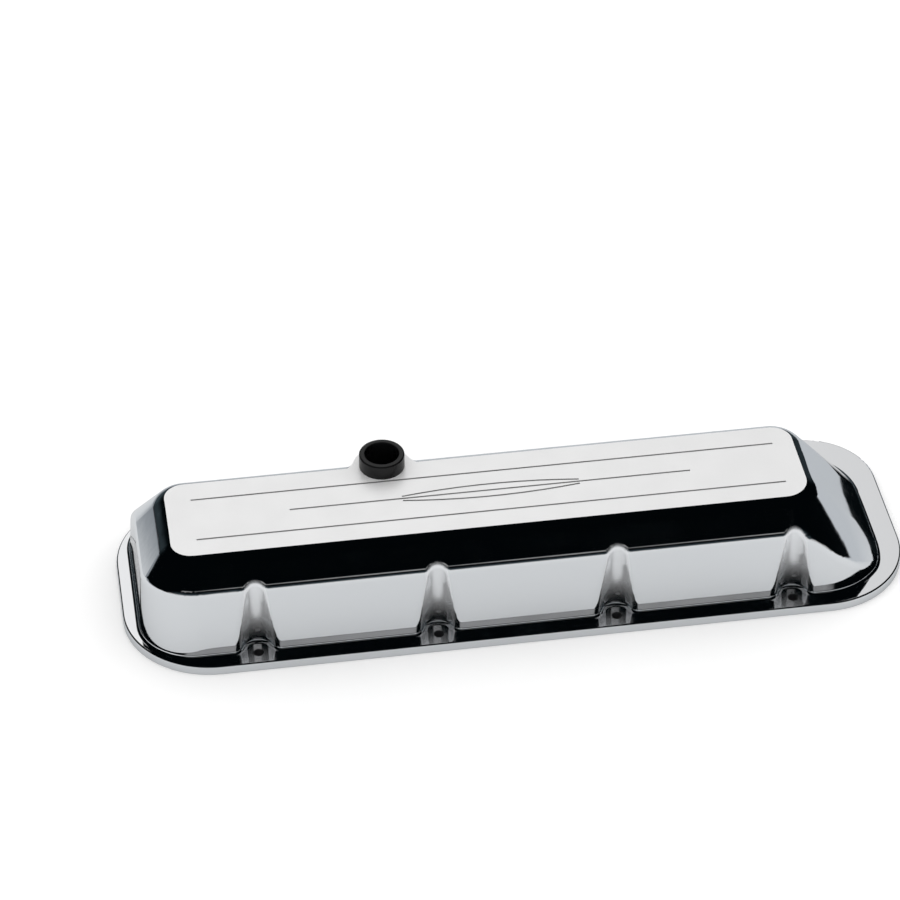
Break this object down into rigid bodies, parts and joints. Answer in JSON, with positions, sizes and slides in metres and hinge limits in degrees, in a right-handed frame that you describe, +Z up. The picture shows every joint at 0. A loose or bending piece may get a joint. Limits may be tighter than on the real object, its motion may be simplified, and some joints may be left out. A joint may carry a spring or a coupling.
{
  "type": "engine valve cover",
  "caption": "Short polished cast valve cover with a flat engraved top plate, a long sloped end, bolt scallops along its sides and a rubber breather grommet.",
  "frame": {"origin": "middle of the gasket face under the flange", "axes": "+X along the cover towards its long sloped end, +Y from the side with the upright wall to the side with the long slope, +Z up from the gasket face towards the top plate"},
  "size_m": [0.544, 0.178, 0.0885],
  "materials": {
    "polished_aluminium": "mirror polished",
    "black_rubber": "glossy moulded",
    "plated_sheet": "zinc plated",
    "plated_screw": "zinc plated"
  },
  "bodies": {
    "root": {"cover_shell": "polished_aluminium", "breather_grommet": "black_rubber", "oil_baffle": "plated_sheet", "baffle_screw_1": "plated_screw", "baffle_screw_2": "plated_screw", "baffle_screw_3": "plated_screw", "baffle_screw_4": "plated_screw"}
  },
  "joints": []
}
